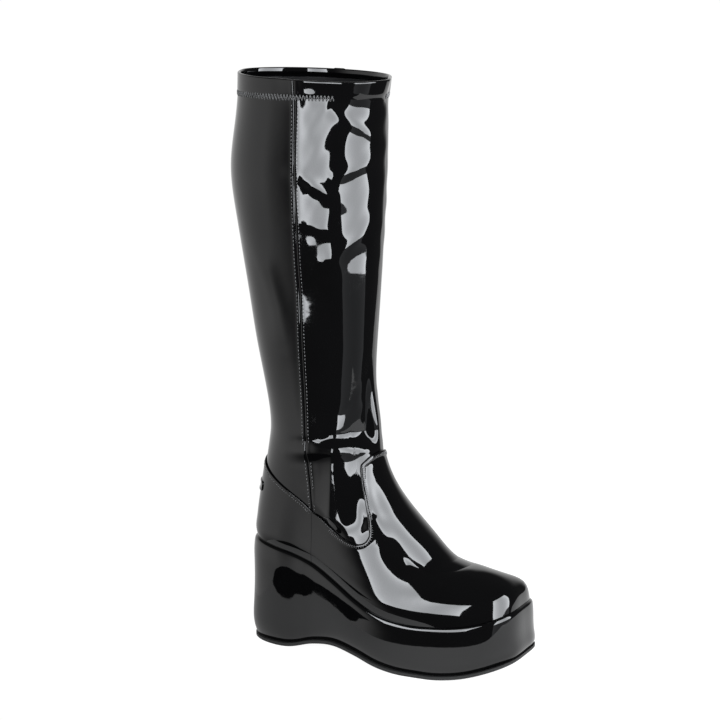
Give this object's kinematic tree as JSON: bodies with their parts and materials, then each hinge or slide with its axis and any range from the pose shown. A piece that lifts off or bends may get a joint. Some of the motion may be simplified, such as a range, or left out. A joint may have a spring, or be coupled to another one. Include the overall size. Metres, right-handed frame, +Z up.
{
  "type": "platform boot",
  "caption": "Knee-high boot in black patent, with a dipped vamp, heel counter and inside zip with a hanging pull, on a wrapped wedge platform with a thin rubber outsole.",
  "frame": {"origin": "on the floor, under the middle of the heel's flat underside", "axes": "+X to the toe, +Y to the inner side of the leg, where the zip is, +Z up along the shaft"},
  "size_m": [0.2727, 0.1136, 0.4903],
  "materials": {
    "upper_patent": "black patent, high gloss",
    "vamp_patent": "black patent, high gloss",
    "counter_patent": "black patent, high gloss",
    "heel_tab_patent": "black, satin, bare",
    "platform_patent": "black patent wrap, high gloss",
    "outsole_rubber": "black, matt",
    "insole_cloth": "black, matt",
    "zip_tape": "black woven tape",
    "zip_coil": "black nylon coil",
    "zip_metal": "black lacquer, satin"
  },
  "bodies": {
    "boot": {"upper": "upper_patent", "vamp": "vamp_patent", "counter": "counter_patent", "heel_tab": "heel_tab_patent", "platform": "platform_patent", "outsole": "outsole_rubber", "insole": "insole_cloth", "zip_tape": "zip_tape", "zip_coil": "zip_coil", "zip_slider": "zip_metal"},
    "zip_pull": {"zip_pull": "zip_metal"}
  },
  "joints": [
    {"name": "zip_pull_hinge", "type": "hinge", "parent": "boot", "child": "zip_pull", "pos_m": [0.03, 0.05404, 0.473], "axis": [1, 0, 0], "range_deg": [0, 140]}
  ]
}
